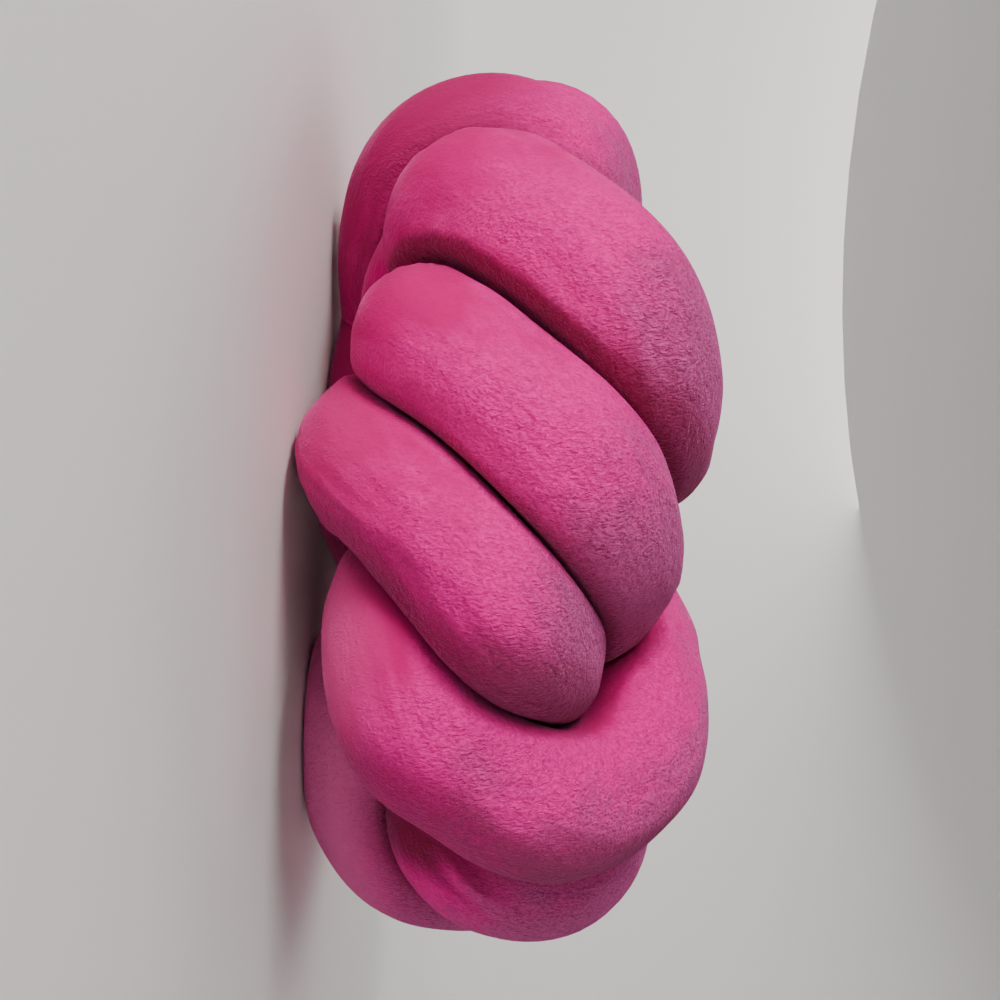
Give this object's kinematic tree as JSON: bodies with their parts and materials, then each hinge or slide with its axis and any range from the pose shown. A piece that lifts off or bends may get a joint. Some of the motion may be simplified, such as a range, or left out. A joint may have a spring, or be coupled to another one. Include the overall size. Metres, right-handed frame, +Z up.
{
  "type": "knot cushion",
  "caption": "Round knot cushion: one plump stuffed plush tube wound over its own rim in interlaced bands, with both ends tucked out of sight.",
  "frame": {"origin": "on the surface the cushion rests on, at the centre of its footprint box", "axes": "+Z up through the thickness, from the face it lies on to the upper face; +X towards the part of the rim the camera faces; +Y follows by the right-hand rule"},
  "size_m": [0.2954, 0.3056, 0.13],
  "materials": {
    "plush": "short deep pink pile with a soft sheen"
  },
  "bodies": {
    "root": {"wound_tube": "plush"}
  },
  "joints": []
}
